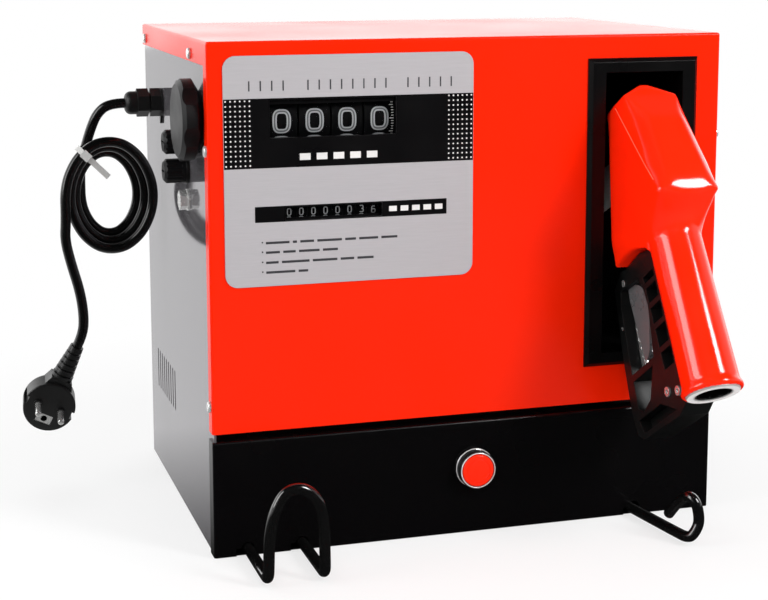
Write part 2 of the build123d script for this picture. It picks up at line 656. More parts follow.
FUSE_CAP_X = -PANEL_X - FUSE_FLANGE_LENGTH
with BuildPart() as fuse_caps:
    with BuildSketch(Plane.YZ.offset(FUSE_CAP_X)):
        with Locations(*fuse_places):
            Circle(FUSE_CAP_RADIUS)
    extrude(amount=-FUSE_CAP_LENGTH)
    chamfer(fuse_caps.faces().sort_by(Axis.X)[:2].edges(), length=2.2)
    with BuildSketch(Plane.YZ.offset(FUSE_CAP_X - FUSE_CAP_LENGTH)):
        with Locations(*fuse_places):
            Rectangle(11, 1.6)
    extrude(amount=2.0, mode=Mode.SUBTRACT)
    with BuildSketch(Plane.YZ.offset(FUSE_CAP_X - 3)):
        for place in fuse_places:
            with Locations(place):
                with PolarLocations(FUSE_CAP_RADIUS + 0.9, FUSE_FLUTES):
                    Circle(1.6)
    extrude(amount=-FUSE_CAP_LENGTH, mode=Mode.SUBTRACT)
fuse_caps.part.label = "fuse_caps"
export_step(fuse_caps.part, "parts/fuse_caps.step")

with BuildPart() as earth_bolt:
    with BuildSketch(LEFT_FACE):
        with Locations((fuse_y, EARTH_Z)):
            Circle(8.0)
    extrude(amount=-1.6)
    with BuildSketch(LEFT_FACE.offset(-1.6)):
        with Locations((fuse_y, EARTH_Z)):
            RegularPolygon(13 / math.sqrt(3), 6, rotation=30)
    extrude(amount=-5.5)
    with BuildSketch(LEFT_FACE):
        with Locations((fuse_y, EARTH_Z)):
            Circle(EARTH_THREAD_RADIUS)
    extrude(amount=16)
earth_bolt.part.label = "earth_bolt"
export_step(earth_bolt.part, "parts/earth_bolt.step")


# Start button

BEZEL_LENGTH = 2.2
COLLAR_STEP = 4.6
RING_LENGTH = 2.6
BUTTON_INSIDE = 24.0
NUT_LENGTH = 5.0
RING_OUTER_RADIUS = 14.2
COLLAR_OUTER_RADIUS = 13.6
BUTTON_PLACE = (BUTTON_X, BUTTON_Z)

# The barrel passes through the panel and ends in a chrome bezel.
with BuildPart() as button_bezel:
    with BuildSketch(FRONT_FACE):
        with Locations(BUTTON_PLACE):
            Circle(BEZEL_RADIUS)
    extrude(amount=BEZEL_LENGTH)
    chamfer(button_bezel.faces().sort_by(Axis.Y)[0].edges(), length=0.8)
    with BuildSketch(FRONT_FACE):
        with Locations(BUTTON_PLACE):
            Circle(BUTTON_BARREL_RADIUS)
    extrude(amount=-BUTTON_INSIDE)
    with BuildSketch(FRONT_FACE.offset(BEZEL_LENGTH)):
        with Locations(BUTTON_PLACE):
            Circle(BUTTON_BARREL_RADIUS - 2)
    extrude(amount=-BEZEL_LENGTH - BUTTON_INSIDE, mode=Mode.SUBTRACT)
button_bezel.part.label = "button_bezel"
export_step(button_bezel.part, "parts/button_bezel.step")

with BuildPart() as button_collar:
    with BuildSketch(FRONT_FACE.offset(BEZEL_LENGTH)):
        with Locations(BUTTON_PLACE):
            Circle(COLLAR_OUTER_RADIUS)
            Circle(BUTTON_CAP_RADIUS + FIT, mode=Mode.SUBTRACT)
    extrude(amount=COLLAR_STEP)
button_collar.part.label = "button_collar"
export_step(button_collar.part, "parts/button_collar.step")

RING_BACK = BEZEL_LENGTH + COLLAR_STEP
with BuildPart() as button_ring:
    with BuildSketch(FRONT_FACE.offset(RING_BACK)):
        with Locations(BUTTON_PLACE):
            Circle(RING_OUTER_RADIUS)
            Circle(BUTTON_CAP_RADIUS + FIT, mode=Mode.SUBTRACT)
    extrude(amount=RING_LENGTH)
    fillet(button_ring.faces().sort_by(Axis.Y)[0].outer_wire().edges(), radius=0.9)
button_ring.part.label = "button_ring"
export_step(button_ring.part, "parts/button_ring.step")

# The red cap slides in the collar, with a stem that runs in the barrel.
CAP_PROUD = 1.2
CAP_LENGTH = RING_LENGTH + CAP_PROUD
STEM_RADIUS = 5.0
CAP_FRONT = RING_BACK + RING_LENGTH + CAP_PROUD
with BuildPart() as button_cap:
    with BuildSketch(FRONT_FACE.offset(CAP_FRONT)):
        with Locations(BUTTON_PLACE):
            Circle(BUTTON_CAP_RADIUS)
    extrude(amount=-CAP_LENGTH)
    fillet(button_cap.faces().sort_by(Axis.Y)[0].edges(), radius=1.8)
    with BuildSketch(FRONT_FACE.offset(CAP_FRONT - CAP_LENGTH)):
        with Locations(BUTTON_PLACE):
            Circle(STEM_RADIUS)
    extrude(amount=-(CAP_FRONT - CAP_LENGTH) - BUTTON_INSIDE + BUTTON_TRAVEL + 2)
button_cap.part.label = "button_cap"
export_step(button_cap.part, "parts/button_cap.step")

with BuildPart() as button_nut:
    with BuildSketch(FRONT_FACE.offset(-SHEET)):
        with Locations(BUTTON_PLACE):
            RegularPolygon(15.5, 6)
            Circle(BUTTON_BARREL_RADIUS, mode=Mode.SUBTRACT)
    extrude(amount=-NUT_LENGTH)
button_nut.part.label = "button_nut"
export_step(button_nut.part, "parts/button_nut.step")

with BuildPart() as switch_block:
    with BuildSketch(FRONT_FACE.offset(-BUTTON_INSIDE)):
        with Locations(BUTTON_PLACE):
            Rectangle(28, 34)
    extrude(amount=-26)
switch_block.part.label = "switch_block"
export_step(switch_block.part, "parts/switch_block.step")


# Holster: a moulded frame with a bevelled edge and a deep pocket with a sloping floor

POCKET_CUT_DEPTH = -FRONT + POCKET_DEPTH
SHELF_Y = -FRONT + POCKET_SHELF_DEPTH
SLOPE_TOP = POCKET_BOTTOM + POCKET_SLOPE_RISE
CRADLE_DEPTH = 104.0
CRADLE_THICKNESS = 4.0


def pocket_outline(grow):
    """The pocket's side view, from the front plane to the back wall."""
    with BuildLine() as outline:
        Polyline(
            (-FRONT, POCKET_BOTTOM - grow),
            (SHELF_Y, POCKET_BOTTOM - grow),
            (POCKET_CUT_DEPTH + grow, SLOPE_TOP - grow),
            (POCKET_CUT_DEPTH + grow, POCKET_TOP + grow),
            (-FRONT, POCKET_TOP + grow),
            close=True,
        )
    return outline.line


nozzle_x = HOLSTER_X - NOZZLE_SIDE_SHIFT
lean = math.radians(NOZZLE_LEAN)
hose_end = Vector(nozzle_x, -FRONT - HOSE_END_FORWARD, HOSE_END_Z)
along = Vector(0, math.sin(lean), math.cos(lean))
outward = Vector(0, -math.cos(lean), math.sin(lean))
NOZZLE = Plane(hose_end, x_dir=along, z_dir=(1, 0, 0))
ACROSS = Plane(hose_end, x_dir=along, z_dir=outward)
HANDLE_AXIS = Axis(hose_end, along)
dip = math.radians(SPOUT_DIP)
spout_direction = Vector(0, math.cos(dip), -math.sin(dip))
spout_root = hose_end + along * SPOUT_ALONG + outward * SPOUT_OUT
SPOUT_PLANE = Plane(spout_root, x_dir=(1, 0, 0), z_dir=spout_direction)

with BuildPart() as holster:
    with BuildSketch(FRONT_FACE):
        with Locations((HOLSTER_X, HOLSTER_Z)):
            Rectangle(HOLSTER_WIDTH, HOLSTER_HEIGHT)
    extrude(amount=HOLSTER_FLANGE)
    chamfer(holster.faces().sort_by(Axis.Y)[0].edges(), length=HOLSTER_FLANGE * 0.7)
    with BuildSketch(Plane.YZ.offset(HOLSTER_X)):
        add(pocket_outline(HOLSTER_WALL))
        make_face()
    extrude(amount=POCKET_WIDTH / 2 + HOLSTER_WALL, both=True)
    with BuildSketch(Plane.YZ.offset(HOLSTER_X)):
        add(pocket_outline(0))
        make_face()
    extrude(amount=POCKET_WIDTH / 2, both=True, mode=Mode.SUBTRACT)
    with BuildSketch(FRONT_FACE):
        with Locations((HOLSTER_X, HOLSTER_Z)):
            Rectangle(POCKET_WIDTH, POCKET_HEIGHT)
    extrude(amount=HOLSTER_FLANGE, mode=Mode.SUBTRACT)
    cradle_y = -FRONT + CRADLE_DEPTH
    cradle_top = spout_root.Z - (cradle_y - spout_root.Y) * math.tan(dip)
    with BuildSketch(Plane.XZ.offset(-cradle_y)):
        with Locations((HOLSTER_X, (cradle_top + POCKET_BOTTOM) / 2)):
            Rectangle(POCKET_WIDTH, cradle_top - POCKET_BOTTOM)
    extrude(amount=CRADLE_THICKNESS, both=True)
    with BuildSketch(SPOUT_PLANE):
        Circle(SPOUT_RADIUS + FIT)
    extrude(amount=BOSS_LENGTH + SPOUT_LENGTH, mode=Mode.SUBTRACT)
    with BuildSketch(Plane.YZ.offset(HOLSTER_X)):
        with BuildLine():
            Polyline(
                (SHELF_Y, POCKET_BOTTOM - HOLSTER_WALL),
                (POCKET_CUT_DEPTH + HOLSTER_WALL, SLOPE_TOP - HOLSTER_WALL),
                (POCKET_CUT_DEPTH + HOLSTER_WALL, POCKET_BOTTOM - HOLSTER_WALL - 10),
                (SHELF_Y, POCKET_BOTTOM - HOLSTER_WALL - 10),
                close=True,
            )
        make_face()
    extrude(amount=POCKET_WIDTH, both=True, mode=Mode.SUBTRACT)
holster.part.label = "holster"
export_step(holster.part, "parts/holster.step")


# Nozzle

NECK_START = 112.0
CORNER_ALONG = 121.0
CORNER_OUT = -65.0
NOSE_ALONG = 240.0
NOSE_OUT = -4.0
BROW_ALONG = 199.0
BROW_OUT = 30.0
CROWN_ALONG = 154.0
CROWN_OUT = 40.0
SHOULDER_START = (139.0, 37.5)
SHOULDER_END = (220.0, 4.0)
SHOULDER_LEAN = 13.0
ROOF_EDGE_START = (146.0, 34.5)
ROOF_EDGE_END = (199.0, 20.0)
ROOF_EDGE_LEAN = 48.0
SOCKET_FLOOR = -6.0


def hump(wall):
    """The swelling over the valve, drawn this far inside its outer skin."""
    with BuildPart() as throat:
        with BuildSketch(NOZZLE):
            with BuildLine():
                neck_radius = GRIP_RADIUS_NECK - 0.4 - wall
                flare = ThreePointArc(
                    (NECK_START - 1, neck_radius), (121, neck_radius + 2.6), (128, neck_radius + 9.6)
                )
                Polyline(flare @ 1, (146, 58 - wall), (146, 0), (NECK_START - 1, 0), flare @ 0)
            make_face()
        revolve(axis=HANDLE_AXIS)
        with BuildSketch(NOZZLE):
            Polygon((90, -120), (260, -120), (260, SOCKET_FLOOR), (90, SOCKET_FLOOR), align=None)
            Polygon((142, -120), (260, -120), (260, 80), (142, 80), align=None)
        extrude(amount=HOOD_WIDTH, both=True)
    with BuildPart() as block:
        with BuildSketch(NOZZLE):
            with BuildLine():
                underside = ThreePointArc((NECK_START + 4, -13), (122.5, -38), (CORNER_ALONG, CORNER_OUT))
                back = Line(underside @ 1, (NOSE_ALONG, NOSE_OUT))
                nose = Line(back @ 1, (NOSE_ALONG - 4.5, NOSE_OUT + 14.5))
                brow = Line(nose @ 1, (BROW_ALONG, BROW_OUT))
                roof = Line(brow @ 1, (CROWN_ALONG, CROWN_OUT))
                crown = ThreePointArc(roof @ 1, (146, 41.2), (138, 40.4))
                Polyline(crown @ 1, (NECK_START - 1, 38), (NECK_START - 1, SOCKET_FLOOR), underside @ 0)
            make_face()
            if wall > 0:
                offset(amount=-wall)
        extrude(amount=HOOD_WIDTH / 2, both=True)
        with BuildSketch(ACROSS):
            half = HOOD_WIDTH / 2 - wall
            neck_half = NECK_WIDTH / 2 - wall
            with BuildLine():
                Polyline(
                    (0, -neck_half),
                    (NECK_START + 6, -neck_half),
                    (138, -half),
                    (HOOD_LENGTH - wall, -half),
                    (HOOD_LENGTH + HOOD_POINT - wall, 0),
                    (HOOD_LENGTH - wall, half),
                    (138, half),
                    (NECK_START + 6, neck_half),
                    (0, neck_half),
                    close=True,
                )
            make_face()
        extrude(amount=150, both=True, mode=Mode.INTERSECT)
        add(throat.part, mode=Mode.INTERSECT)
        side_cuts = [
            (SHOULDER_START, SHOULDER_END, SHOULDER_LEAN),
            (ROOF_EDGE_START, ROOF_EDGE_END, ROOF_EDGE_LEAN),
        ]
        for start, end, lean in side_cuts:
            cut_way = (along * (end[0] - start[0]) + outward * (end[1] - start[1])).normalized()
            cut_up = Vector(1, 0, 0).cross(cut_way)
            lean_in = math.radians(lean)
            for side in (-1, 1):
                cut_face = Vector(side * math.cos(lean_in), 0, 0) + cut_up * math.sin(lean_in)
                foot = hose_end + along * start[0] + outward * start[1]
                foot += Vector(side * HOOD_WIDTH / 2, 0, 0) - cut_face * wall
                with BuildSketch(Plane(foot, x_dir=cut_way, z_dir=cut_face)):
                    Rectangle(400, 400)
                extrude(amount=40, mode=Mode.SUBTRACT)
    return block.part


outer_hump = hump(0)
inner_hump = hump(COVER_WALL)

# The aluminium body: handle tube with the threaded inlet, valve chamber and the spout's boss.
with BuildPart() as nozzle_body:
    with BuildSketch(Plane(hose_end, x_dir=outward, z_dir=along)):
        Circle(HANDLE_CORE_RADIUS)
    extrude(amount=HANDLE_LENGTH + 20)
    with BuildSketch(Plane(hose_end, x_dir=outward, z_dir=along)):
        Circle(COLLAR_RADIUS)
    extrude(amount=COLLAR_LENGTH)
    chamfer(nozzle_body.edges().filter_by(GeomType.CIRCLE).sort_by(HANDLE_AXIS)[0], length=0.8)
    add(inner_hump)
    with BuildSketch(SPOUT_PLANE):
        Circle(BOSS_RADIUS)
    extrude(amount=BOSS_LENGTH)
    with BuildSketch(Plane(hose_end, x_dir=outward, z_dir=along)):
        Circle(INLET_RADIUS)
    extrude(amount=INLET_LENGTH, mode=Mode.SUBTRACT)
    with BuildSketch(Plane(hose_end, x_dir=outward, z_dir=along)):
        Circle(FLOW_RADIUS)
    extrude(amount=HANDLE_LENGTH, mode=Mode.SUBTRACT)
    with BuildSketch(SPOUT_PLANE.offset(BOSS_LENGTH)):
        Circle(SPOUT_RADIUS)
    extrude(amount=-BOSS_SOCKET, mode=Mode.SUBTRACT)
nozzle_body.part.label = "nozzle_body"
export_step(nozzle_body.part, "parts/nozzle_body.step")

# The red cover: one soft moulding over the handle and the valve, with a bead at the hose end.
LIP_START = 0.8
LIP_LENGTH = 5.0
with BuildPart() as nozzle_cover:
    with BuildSketch(NOZZLE):
        with BuildLine():
            Polyline(
                (LIP_START, 0),
                (LIP_START, LIP_RADIUS - 1.6),
                (LIP_START + 1.6, LIP_RADIUS),
                (LIP_START + LIP_LENGTH - 1.6, LIP_RADIUS),
                (LIP_START + LIP_LENGTH + 2, GRIP_RADIUS_END),
                (HANDLE_LENGTH + 8, GRIP_RADIUS_NECK),
                (HANDLE_LENGTH + 8, 0),
                close=True,
            )
        make_face()
    revolve(axis=HANDLE_AXIS)
    add(outer_hump)
    add(nozzle_body.part, mode=Mode.SUBTRACT)
    with BuildSketch(Plane(hose_end, x_dir=outward, z_dir=along)):
        Circle(COLLAR_RADIUS)
    extrude(amount=COLLAR_LENGTH, mode=Mode.SUBTRACT)
    with BuildSketch(Plane(hose_end, x_dir=outward, z_dir=along)):
        Circle(HANDLE_CORE_RADIUS)
    extrude(amount=HANDLE_LENGTH, mode=Mode.SUBTRACT)
nozzle_cover.part.label = "nozzle_cover"
export_step(nozzle_cover.part, "parts/nozzle_cover.step")

with BuildPart() as nozzle_spout:
    with BuildSketch(SPOUT_PLANE.offset(BOSS_LENGTH - BOSS_SOCKET)):
        Circle(SPOUT_RADIUS)
        Circle(SPOUT_BORE, mode=Mode.SUBTRACT)
    extrude(amount=BOSS_SOCKET + SPOUT_LENGTH - BOSS_LENGTH)
nozzle_spout.part.label = "nozzle_spout"
export_step(nozzle_spout.part, "parts/nozzle_spout.step")

# The black guard: a bow round the lever, a foot at the hose end and a ribbed back by the handle.
GUARD_GAP = 0.4
LEVER_EYE_RADIUS = 5.0
GUARD_WEB = 5.0
GUARD_BRIDGE = 5.0
WINDOW_FOOT = 47.5
with BuildPart() as lever_guard:
    with BuildSketch(NOZZLE):
        with BuildLine():
            Polyline(
                (115.5, -13),
                (122.0, -38),
                (120.5, -65),
                (122.5, -74),
                (114, -92),
                (64, -103.5),
                (22.5, -109.5),
                (5, -107.5),
                (-1, -99),
                (-3, -34),
                (4, -17),
                close=True,
            )
        make_face()
        with BuildLine():
            Polyline(
                (109, -82),
                (107, -50),
                (97, -45),
                (84, -43.5),
                (WINDOW_FOOT, -53.5),
                (WINDOW_FOOT, -94.6),
                (62, -93),
                (100, -87),
                close=True,
            )
        make_face(mode=Mode.SUBTRACT)
        with BuildLine():
            Polyline(
                (WINDOW_FOOT - GUARD_BRIDGE, -58),
                (WINDOW_FOOT - GUARD_BRIDGE, -95),
                (22, -97),
                (17, -90),
                (22, -74),
                close=True,
            )
        make_face(mode=Mode.SUBTRACT)
    extrude(amount=GUARD_WIDTH / 2, both=True)
    rib_cuts = [(99, 104), (84, 95), (68, 80), (50, 64), (33, 46)]
    for side in (-1, 1):
        with BuildSketch(NOZZLE.offset(side * GUARD_WIDTH / 2)):
            for low, high in rib_cuts:
                with Locations(((low + high) / 2, -32)):
                    Rectangle(high - low, 18)
        extrude(amount=-side * (GUARD_WIDTH - GUARD_WEB) / 2, mode=Mode.SUBTRACT)
        with BuildSketch(NOZZLE.offset(side * GUARD_WIDTH / 2)):
            with BuildLine():
                Polyline((2, -36), (3, -96), (14, -100), (14, -60), close=True)
            make_face()
        extrude(amount=-side * (GUARD_WIDTH - GUARD_WEB) / 2, mode=Mode.SUBTRACT)
    add(nozzle_cover.part, mode=Mode.SUBTRACT)
    add(nozzle_body.part, mode=Mode.SUBTRACT)
    with BuildSketch(Plane(hose_end, x_dir=outward, z_dir=along)):
        Circle(GRIP_RADIUS_END + GUARD_GAP)
    extrude(amount=HANDLE_LENGTH, mode=Mode.SUBTRACT)
    with BuildSketch(NOZZLE):
        with Locations((LEVER_PIN_ALONG, LEVER_PIN_OUT)):
            Circle(LEVER_PIN_RADIUS)
        with Locations((LATCH_PIN_ALONG, LATCH_PIN_OUT)):
            Circle(LATCH_PIN_RADIUS)
    extrude(amount=GUARD_WIDTH, both=True, mode=Mode.SUBTRACT)
    with BuildSketch(NOZZLE):
        with Locations((LEVER_PIN_ALONG, LEVER_PIN_OUT)):
            Circle(LEVER_EYE_RADIUS + GUARD_GAP)
        with Locations((LEVER_PIN_ALONG - 8, LEVER_PIN_OUT + 4)):
            Rectangle(16, 2 * LEVER_EYE_RADIUS + 14)
    extrude(amount=LEVER_WIDTH / 2 + GUARD_GAP, both=True, mode=Mode.SUBTRACT)
    with BuildSketch(NOZZLE):
        with BuildLine():
            Polyline((89, -84), (89, -96.5), (70, -100.5), (45, -103.5), (45, -84), close=True)
        make_face()
    extrude(amount=LATCH_WIDTH / 2 + GUARD_GAP, both=True, mode=Mode.SUBTRACT)
lever_guard.part.label = "lever_guard"
export_step(lever_guard.part, "parts/lever_guard.step")

# The lever: a light-alloy channel with two deep cheeks, open to the handle, on its pin in the guard.
LEVER_CHEEK = 2.0
with BuildPart() as trigger_lever:
    with BuildSketch(NOZZLE):
        with BuildLine():
            Polyline(
                (LEVER_PIN_ALONG - 2, LEVER_PIN_OUT + 4.5),
                (104, -57.5),
                (97, -51.5),
                (84, -52),
                (57, -66.5),
                (52.5, -72),
                (52.5, -77),
                (100, -79.5),
                (LEVER_PIN_ALONG - 2, LEVER_PIN_OUT - 4.5),
                close=True,
            )
        make_face()
        with Locations((LEVER_PIN_ALONG, LEVER_PIN_OUT)):
            Circle(LEVER_EYE_RADIUS)
    extrude(amount=LEVER_WIDTH / 2, both=True)
    with BuildSketch(NOZZLE):
        with BuildLine():
            Polyline((100, -40), (100, -75), (56, -73), (56, -40), close=True)
        make_face()
    extrude(amount=LEVER_WIDTH / 2 - LEVER_CHEEK, both=True, mode=Mode.SUBTRACT)
    with BuildSketch(NOZZLE):
        with Locations((LEVER_PIN_ALONG, LEVER_PIN_OUT)):
            Circle(LEVER_PIN_RADIUS + RUNNING_FIT)
    extrude(amount=LEVER_WIDTH, both=True, mode=Mode.SUBTRACT)
trigger_lever.part.label = "trigger_lever"
export_step(trigger_lever.part, "parts/trigger_lever.step")

# The latch that holds the lever squeezed: a notched steel strip in a slot of the bow.
with BuildPart() as hold_latch:
    with BuildSketch(NOZZLE):
        with BuildLine():
            Polyline(
                (LATCH_PIN_ALONG, LATCH_PIN_OUT + 3.4),
                (78, -89.4),
                (74, -91.4),
                (71, -89),
                (67, -91),
                (64, -88.6),
                (60, -90.6),
                (57, -88.4),
                (51, -88.4),
                (49, -91),
                (50, -96),
                (LATCH_PIN_ALONG, LATCH_PIN_OUT - 3),
                close=True,
            )
        make_face()
        with Locations((LATCH_PIN_ALONG, LATCH_PIN_OUT)):
            Circle(3.4)
            Circle(LATCH_PIN_RADIUS + RUNNING_FIT, mode=Mode.SUBTRACT)
    extrude(amount=LATCH_WIDTH / 2, both=True)
hold_latch.part.label = "hold_latch"
export_step(hold_latch.part, "parts/hold_latch.step")

# The pins of the lever and the latch, pressed into the guard
with BuildPart() as nozzle_pins:
    with BuildSketch(NOZZLE):
        with Locations((LEVER_PIN_ALONG, LEVER_PIN_OUT)):
            Circle(LEVER_PIN_RADIUS)
    extrude(amount=GUARD_WIDTH / 2 + 0.8, both=True)
    with BuildSketch(NOZZLE):
        with Locations((LATCH_PIN_ALONG, LATCH_PIN_OUT)):
            Circle(LATCH_PIN_RADIUS)
    extrude(amount=GUARD_WIDTH / 2, both=True)
nozzle_pins.part.label = "nozzle_pins"
export_step(nozzle_pins.part, "parts/nozzle_pins.step")

# Socket-head screws in the guard's foot, one on each side
with BuildPart() as guard_screws:
    for side in (-1, 1):
        with BuildSketch(NOZZLE.offset(side * GUARD_WIDTH / 2)):
            with Locations((17.5, -43), (13, -27)):
                Circle(3.6)
        extrude(amount=side * 1.6)
        with BuildSketch(NOZZLE.offset(side * (GUARD_WIDTH / 2 + 1.6))):
            with Locations((17.5, -43), (13, -27)):
                RegularPolygon(1.8, 6)
        extrude(amount=-side * 1.1, mode=Mode.SUBTRACT)
guard_screws.part.label = "guard_screws"
export_step(guard_screws.part, "parts/guard_screws.step")


# Hose hooks: round rod, bent, with its ends on the floor of the cabinet


def bent_rod(points, radii, rod_radius):
    """A rod along these points, with a bend of the given radius at each inner point."""
    with BuildPart() as rod:
        with BuildLine() as path:
            FilletPolyline(*points, radius=radii)
        with BuildSketch(Plane(path.line @ 0, z_dir=path.line % 0)):
            Circle(rod_radius)
        sweep(path=path.line)
    return rod.part


hook_z = SHEET + HOOK_RADIUS
hook_seat_y = -FRONT + HOOK_SEAT
left_arm_y = -FRONT - LEFT_HOOK_REACH
left_x0 = LEFT_HOOK_X - LEFT_HOOK_WIDTH / 2
left_x1 = LEFT_HOOK_X + LEFT_HOOK_WIDTH / 2
left_hook_points = [
    (left_x0, hook_seat_y, hook_z),
    (left_x0, left_arm_y, hook_z),
    (left_x0 + 14, left_arm_y - 4, LEFT_HOOK_TOP),
    (left_x1, left_arm_y - 4, LEFT_HOOK_TOP),
    (left_x1, left_arm_y, hook_z),
    (left_x1, hook_seat_y, hook_z),
]
left_radii = [HOOK_CORNER, HOOK_CORNER - 1, HOOK_CORNER - 1, HOOK_CORNER]
left_hose_hook = bent_rod(left_hook_points, left_radii, HOOK_RADIUS)
left_hose_hook.label = "left_hose_hook"
export_step(left_hose_hook, "parts/left_hose_hook.step")

right_arm_y = -FRONT - RIGHT_HOOK_REACH
right_slope = RIGHT_HOOK_SPLAY / RIGHT_HOOK_REACH
right_x1 = RIGHT_HOOK_X + RIGHT_HOOK_SPLAY
right_hook_points = [
    (RIGHT_HOOK_X - right_slope * HOOK_SEAT, hook_seat_y, hook_z),
    (right_x1, right_arm_y, hook_z),
    (right_x1 + 1, right_arm_y - 6, RIGHT_HOOK_TOP - HOOK_RADIUS),
    (right_x1 - 4, right_arm_y + 12, RIGHT_HOOK_TOP - HOOK_RADIUS),
    (right_x1 - 10, right_arm_y + RIGHT_HOOK_RETURN, RIGHT_HOOK_END),
]
right_radii = [HOOK_CORNER - 2, HOOK_CORNER - 6, HOOK_CORNER - 3]
right_hose_hook = bent_rod(right_hook_points, right_radii, HOOK_RADIUS)
right_hose_hook.label = "right_hose_hook"
export_step(right_hose_hook, "parts/right_hose_hook.step")


# Motor and pump, on one axis across the cabinet

motor_length = MOTOR_RIGHT_X - MOTOR_LEFT_X
motor_middle_x = (MOTOR_LEFT_X + MOTOR_RIGHT_X) / 2
MOTOR_BEARING = MOTOR_SHAFT_RADIUS + RUNNING_FIT
COWL_LENGTH = 18.0
with BuildPart() as motor_housing:
    with BuildSketch(Plane.YZ.offset(MOTOR_LEFT_X)):
        with Locations((MOTOR_Y, MOTOR_Z)):
            Circle(MOTOR_RADIUS)
    extrude(amount=motor_length)
    with BuildSketch(Plane.XY.offset(SHEET)):
        with Locations((motor_middle_x, MOTOR_Y)):
            with GridLocations(70, 76, 2, 2):
                Rectangle(16, 20)
    extrude(amount=MOTOR_Z - SHEET - 28)
    with BuildSketch(Plane.YZ.offset(MOTOR_LEFT_X + 12)):
        with Locations((MOTOR_Y, MOTOR_Z)):
            Circle(MOTOR_RADIUS - MOTOR_WALL)
    extrude(amount=motor_length - 24, mode=Mode.SUBTRACT)
    with BuildSketch(Plane.YZ.offset(MOTOR_LEFT_X)):
        with Locations((MOTOR_Y, MOTOR_Z)):
            Circle(MOTOR_BEARING)
    extrude(amount=motor_length, mode=Mode.SUBTRACT)
motor_housing.part.label = "motor_housing"
export_step(motor_housing.part, "parts/motor_housing.step")

FAN_BLADES = 8
FAN_GAP = 3.0
FAN_WIDTH = 12.0
PUMP_WALL = 8.0
pump_cavity_x = MOTOR_RIGHT_X + PUMP_WALL
ROTOR_GAP = 0.3
with BuildPart() as fan_cowl:
    with BuildSketch(Plane.YZ.offset(MOTOR_LEFT_X)):
        with Locations((MOTOR_Y, MOTOR_Z)):
            Circle(MOTOR_RADIUS - 1)
    extrude(amount=-COWL_LENGTH - 2)
    with BuildSketch(Plane.YZ.offset(MOTOR_LEFT_X)):
        with Locations((MOTOR_Y, MOTOR_Z)):
            Circle(MOTOR_RADIUS - 3)
    extrude(amount=-COWL_LENGTH, mode=Mode.SUBTRACT)
    with BuildSketch(Plane.YZ.offset(MOTOR_LEFT_X - COWL_LENGTH)):
        with Locations((MOTOR_Y, MOTOR_Z)):
            with PolarLocations(28, 12):
                SlotOverall(22, 5)
    extrude(amount=-2, mode=Mode.SUBTRACT)
fan_cowl.part.label = "fan_cowl"
export_step(fan_cowl.part, "parts/fan_cowl.step")

# One shaft carries the fan at its left end and the pump's rotor at its right end.
shaft_length = motor_length + COWL_LENGTH - 3 + PUMP_WALL + 4
with BuildPart() as motor_shaft:
    with BuildSketch(Plane.YZ.offset(MOTOR_LEFT_X - COWL_LENGTH + 3)):
        with Locations((MOTOR_Y, MOTOR_Z)):
            Circle(MOTOR_SHAFT_RADIUS)
    extrude(amount=shaft_length)
    with BuildSketch(Plane.YZ.offset(MOTOR_LEFT_X - FAN_GAP)):
        with Locations((MOTOR_Y, MOTOR_Z)):
            Circle(12)
            with PolarLocations(26, FAN_BLADES):
                Rectangle(34, 2.4)
    extrude(amount=-FAN_WIDTH)
    with BuildSketch(Plane.YZ.offset(MOTOR_LEFT_X + 16)):
        with Locations((MOTOR_Y, MOTOR_Z)):
            Circle(MOTOR_RADIUS - MOTOR_WALL - 12)
    extrude(amount=motor_length - 32)
motor_shaft.part.label = "motor_shaft"
export_step(motor_shaft.part, "parts/motor_shaft.step")

with BuildPart() as terminal_box:
    with BuildSketch(Plane.XY.offset(MOTOR_Z)):
        with Locations((motor_middle_x, MOTOR_Y)):
            Rectangle(70, 44)
    extrude(amount=MOTOR_RADIUS + 26)
    fillet(terminal_box.edges().filter_by(Axis.Z), radius=4)
    with BuildSketch(Plane.YZ.offset(motor_middle_x)):
        with Locations((MOTOR_Y, MOTOR_Z)):
            Circle(MOTOR_RADIUS)
    extrude(amount=60, both=True, mode=Mode.SUBTRACT)
terminal_box.part.label = "terminal_box"
export_step(terminal_box.part, "parts/terminal_box.step")

# The pump: a round housing whose cavity is set off the shaft, with a boss on top.
PUMP_BOSS_TOP = MOTOR_Z + PUMP_RADIUS + 10
pump_middle_x = MOTOR_RIGHT_X + PUMP_LENGTH / 2
PUMP_COVER_THICKNESS = 8.0
pump_face_x = MOTOR_RIGHT_X + PUMP_LENGTH
with BuildPart() as pump_housing:
    with BuildSketch(Plane.YZ.offset(MOTOR_RIGHT_X)):
        with Locations((MOTOR_Y, MOTOR_Z)):
            Circle(PUMP_RADIUS)
    extrude(amount=PUMP_LENGTH)
    with BuildSketch(Plane.XY.offset(MOTOR_Z)):
        with Locations((pump_middle_x, MOTOR_Y)):
            Circle(PIPE_RADIUS + 3)
    extrude(amount=PUMP_BOSS_TOP - MOTOR_Z)
    with BuildSketch(Plane.YZ.offset(pump_cavity_x)):
        with Locations((MOTOR_Y, MOTOR_Z - ROTOR_OFFSET)):
            Circle(CAVITY_RADIUS)
    extrude(amount=PUMP_LENGTH, mode=Mode.SUBTRACT)
    with BuildSketch(Plane.YZ.offset(MOTOR_RIGHT_X)):
        with Locations((MOTOR_Y, MOTOR_Z)):
            Circle(MOTOR_BEARING)
    extrude(amount=PUMP_WALL, mode=Mode.SUBTRACT)
    with BuildSketch(Plane.XY.offset(PUMP_BOSS_TOP)):
        with Locations((pump_middle_x, MOTOR_Y)):
            Circle(PORT_BORE)
    extrude(amount=-PUMP_RADIUS - 10 + CAVITY_RADIUS - 8, mode=Mode.SUBTRACT)
pump_housing.part.label = "pump_housing"
export_step(pump_housing.part, "parts/pump_housing.step")

